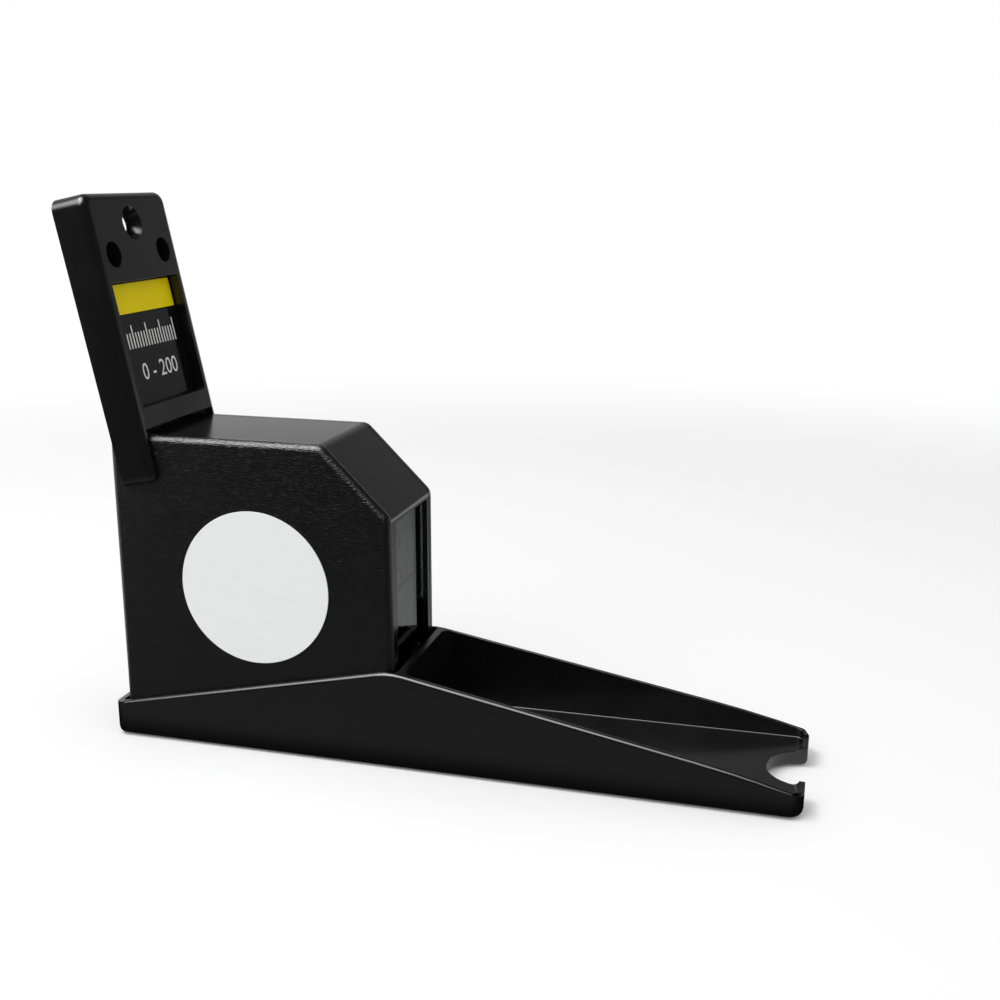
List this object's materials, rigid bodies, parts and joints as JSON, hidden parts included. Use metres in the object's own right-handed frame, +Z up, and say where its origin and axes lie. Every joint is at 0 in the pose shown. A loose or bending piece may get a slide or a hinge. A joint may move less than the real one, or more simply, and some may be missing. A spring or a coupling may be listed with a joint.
{
  "type": "wall-hung stadiometer",
  "caption": "Roll-up height measure: reel housing with window on a long open foot, spring-wound steel tape, and a wall bracket with screw holes that draws off and tilts.",
  "frame": {"origin": "on the foot's flat underside, straight below the tape's line, at mid-width", "axes": "+X from the wall side towards the tip of the foot, +Y towards the side with the screwed cover, +Z up along the tape"},
  "size_m": [0.1689, 0.0356, 0.1276],
  "materials": {
    "black_moulding": "satin moulded",
    "grained_moulding": "fine leather grain",
    "gloss_plate": "gloss",
    "clear_window": "clear polished plastic",
    "red_line": "printed line",
    "white_label": "satin film",
    "yellow_strip": "satin film",
    "zinc_screw": "zinc plated",
    "bright_steel": "turned",
    "spring_steel": "blued strip",
    "grey_nylon": "moulded",
    "tape_enamel": "enamelled steel strip"
  },
  "bodies": {
    "head_unit": {"foot": "black_moulding", "housing_shell": "grained_moulding", "side_cover": "grained_moulding", "window_lens": "clear_window", "reading_line": "red_line", "side_label": "white_label", "cover_screw_1": "zinc_screw", "cover_screw_2": "zinc_screw", "cover_screw_3": "zinc_screw", "cover_screw_4": "zinc_screw", "foot_screw_1": "zinc_screw", "foot_screw_2": "zinc_screw", "reel_arbor": "bright_steel", "power_spring": "spring_steel"},
    "tape_reel": {"reel_drum": "grey_nylon", "reel_flange": "grey_nylon", "tape_coil": "tape_enamel"},
    "tape_run": {"tape_stretch": "tape_enamel", "tape_end_loop": "tape_enamel"},
    "wall_bracket": {"loop_pin": "bright_steel", "bracket_shell": "black_moulding", "marking_plate": "gloss_plate", "level_strip": "yellow_strip"}
  },
  "joints": [
    {"name": "tape_pull", "type": "slide", "parent": "head_unit", "child": "tape_run", "axis": [0, 0, 1], "range_m": [0, 2], "stiffness_N_per_m": 1, "springref_m": -1, "deforming": ["tape_stretch"]},
    {"name": "reel_spin", "type": "hinge", "parent": "head_unit", "child": "tape_reel", "pos_m": [0.03005, 0, 0.04], "axis": [0, 1, 0], "range_deg": [0, 3944]},
    {"name": "bracket_tilt", "type": "hinge", "parent": "tape_run", "child": "wall_bracket", "pos_m": [0, 0, 0.07765], "axis": [0, 1, 0], "range_deg": [0, 11.75]}
  ],
  "couplings": [
    {"joint": "reel_spin", "follows": "tape_pull", "rad_per_m": 34.418}
  ]
}
